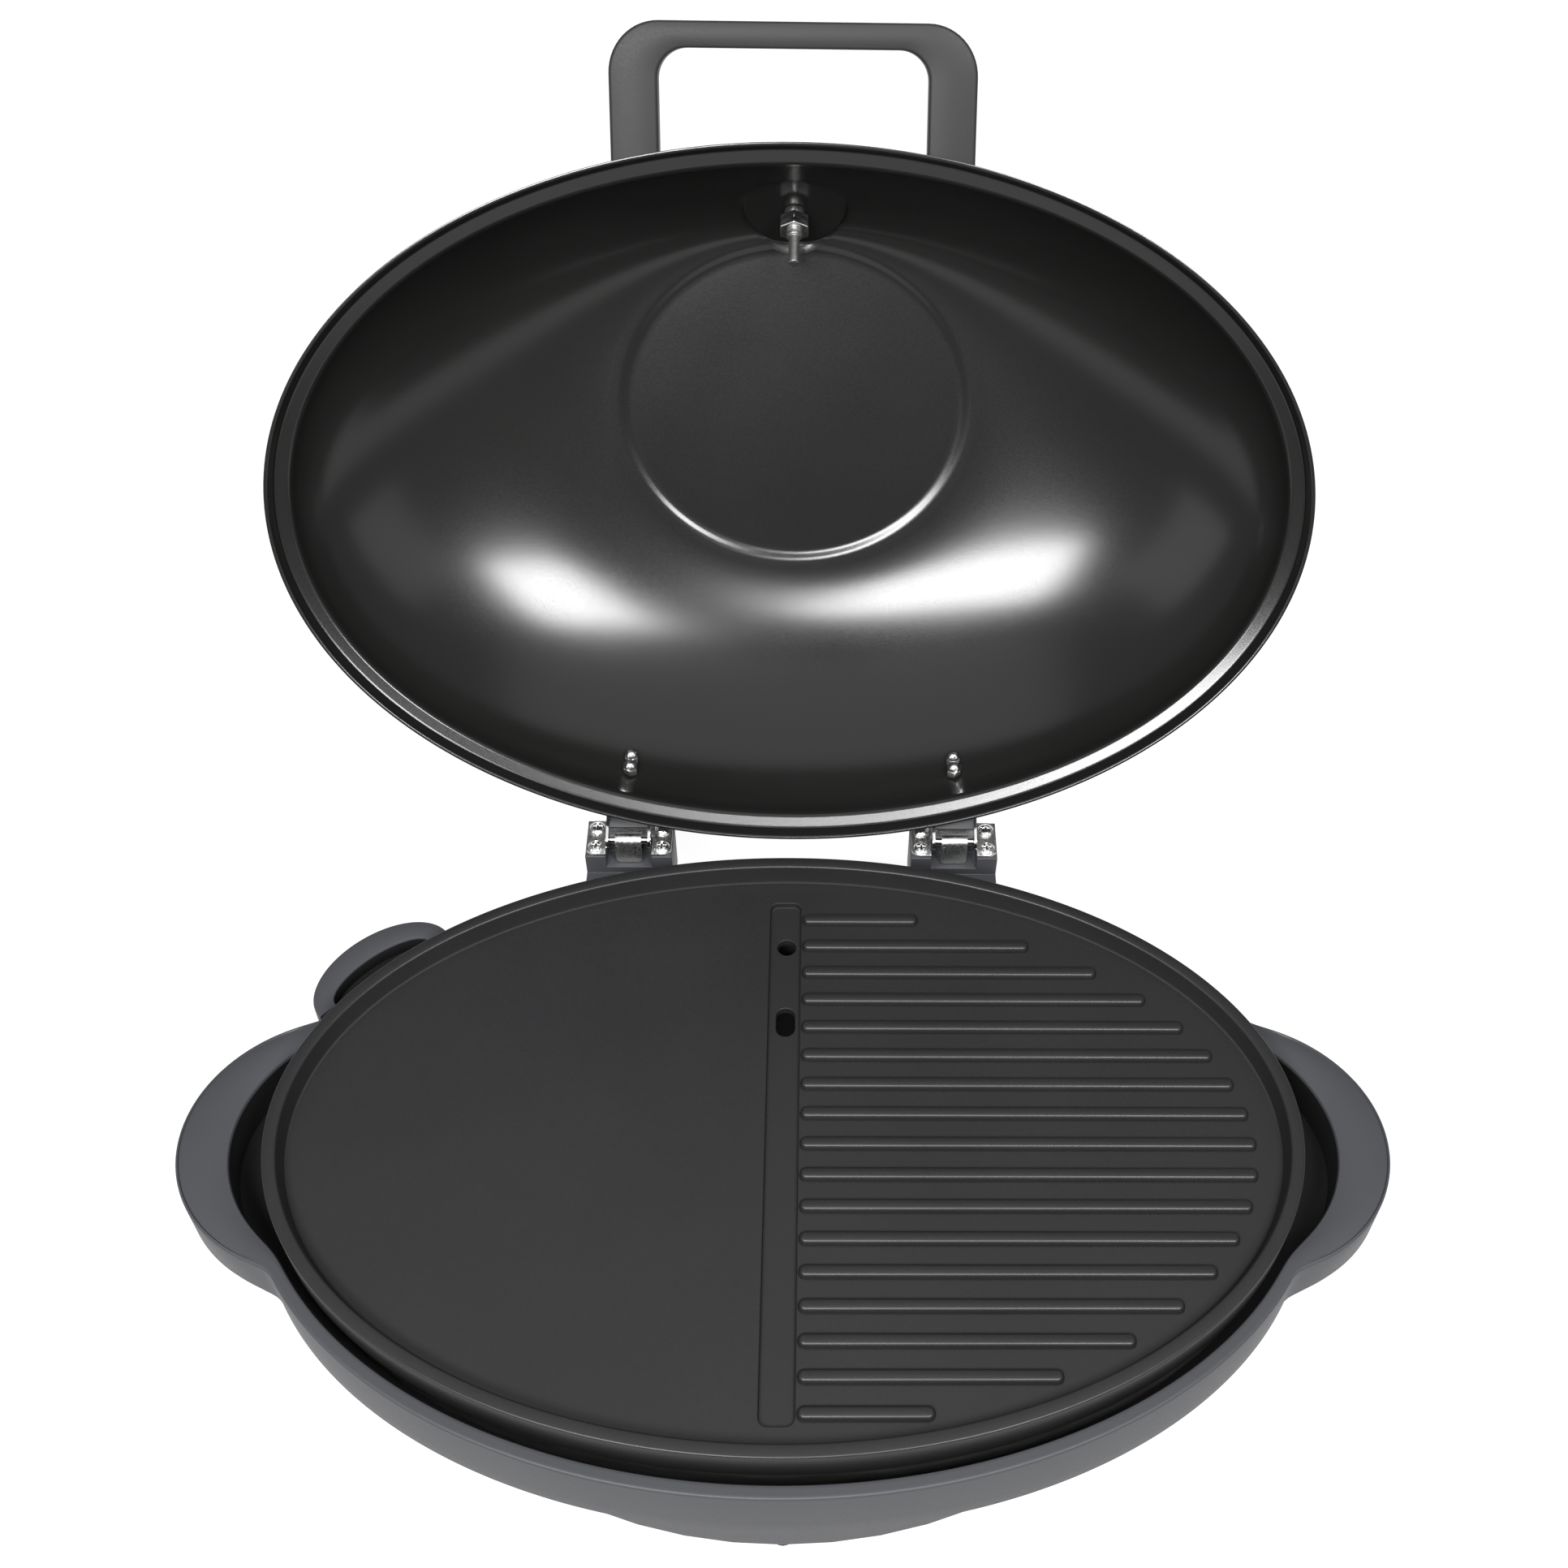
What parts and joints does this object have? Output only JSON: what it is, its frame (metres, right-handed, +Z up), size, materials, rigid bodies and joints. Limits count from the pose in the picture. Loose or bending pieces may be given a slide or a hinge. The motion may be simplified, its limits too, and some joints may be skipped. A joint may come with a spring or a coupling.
{
  "type": "electric griddle with domed lid",
  "caption": "Oval tabletop griddle: part-ribbed plate on a moulded base with side grips, a drip drawer and a hinged domed lid with a U handle and a thermometer, shown open.",
  "frame": {"origin": "bottom centre of the bounding box, on the floor under the feet, with the lid open", "axes": "+Z up, +X to the user's right along the long side of the plate, +Y from the user to the hinges at the back"},
  "size_m": [0.57, 0.5772, 0.4329],
  "materials": {
    "cast_plate": "satin dark non-stick coating",
    "moulding": "fine matt",
    "rubber_foot": "matt",
    "lid_enamel": "satin baked enamel",
    "handle_satin": "satin",
    "ceramic": "unglazed",
    "dial": "matt printed",
    "needle_red": "matt",
    "lens": "clear",
    "bright_chrome": "polished",
    "plain_steel": "dull"
  },
  "bodies": {
    "base": {"griddle_plate": "cast_plate", "upper_housing": "moulding", "lower_housing": "moulding", "heat_pan": "plain_steel", "heating_element": "plain_steel", "inlet_block": "ceramic", "inlet_pin_left": "bright_chrome", "inlet_pin_right": "bright_chrome", "thermostat_sleeve": "plain_steel", "element_clip_1": "plain_steel", "element_clip_2": "plain_steel", "element_clip_3": "plain_steel", "hinge_block_left": "moulding", "hinge_bracket_left": "bright_chrome", "hinge_pin_left": "bright_chrome", "hinge_screw_left_1": "bright_chrome", "hinge_screw_left_2": "bright_chrome", "hinge_screw_left_3": "bright_chrome", "hinge_screw_left_4": "bright_chrome", "hinge_block_right": "moulding", "hinge_bracket_right": "bright_chrome", "hinge_pin_right": "bright_chrome", "hinge_screw_right_1": "bright_chrome", "hinge_screw_right_2": "bright_chrome", "hinge_screw_right_3": "bright_chrome", "hinge_screw_right_4": "bright_chrome", "foot_1": "rubber_foot", "foot_2": "rubber_foot", "foot_3": "rubber_foot", "foot_4": "rubber_foot", "case_screw_1": "plain_steel", "case_screw_2": "plain_steel", "case_screw_3": "plain_steel", "case_screw_4": "plain_steel"},
    "lid": {"lid_shell": "lid_enamel", "lid_handle": "handle_satin", "handle_bracket_left": "plain_steel", "handle_screw_left": "bright_chrome", "hinge_strap_left": "moulding", "strap_bar_left": "bright_chrome", "strap_bolt_left_1": "bright_chrome", "cap_nut_left_1": "bright_chrome", "strap_bolt_left_2": "bright_chrome", "cap_nut_left_2": "bright_chrome", "handle_bracket_right": "plain_steel", "handle_screw_right": "bright_chrome", "hinge_strap_right": "moulding", "strap_bar_right": "bright_chrome", "strap_bolt_right_1": "bright_chrome", "cap_nut_right_1": "bright_chrome", "strap_bolt_right_2": "bright_chrome", "cap_nut_right_2": "bright_chrome", "thermometer_case": "bright_chrome", "thermometer_dial": "dial", "thermometer_lens": "lens", "thermometer_stem": "plain_steel", "thermometer_nut": "bright_chrome"},
    "drawer": {"drip_tray": "plain_steel"},
    "needle": {"thermometer_needle": "needle_red"}
  },
  "joints": [
    {"name": "lid_hinge", "type": "hinge", "parent": "base", "child": "lid", "pos_m": [0, 0.05496, 0.0915], "axis": [1, 0, 0], "range_deg": [0, 119]},
    {"name": "drawer_slide", "type": "slide", "parent": "base", "child": "drawer", "axis": [0, 1, 0], "range_m": [0, 0.1]},
    {"name": "needle_turn", "type": "hinge", "parent": "lid", "child": "needle", "pos_m": [0, 0.28023, 0.33727], "axis": [0, -0.9455, -0.3256], "range_deg": [0, 270]}
  ]
}
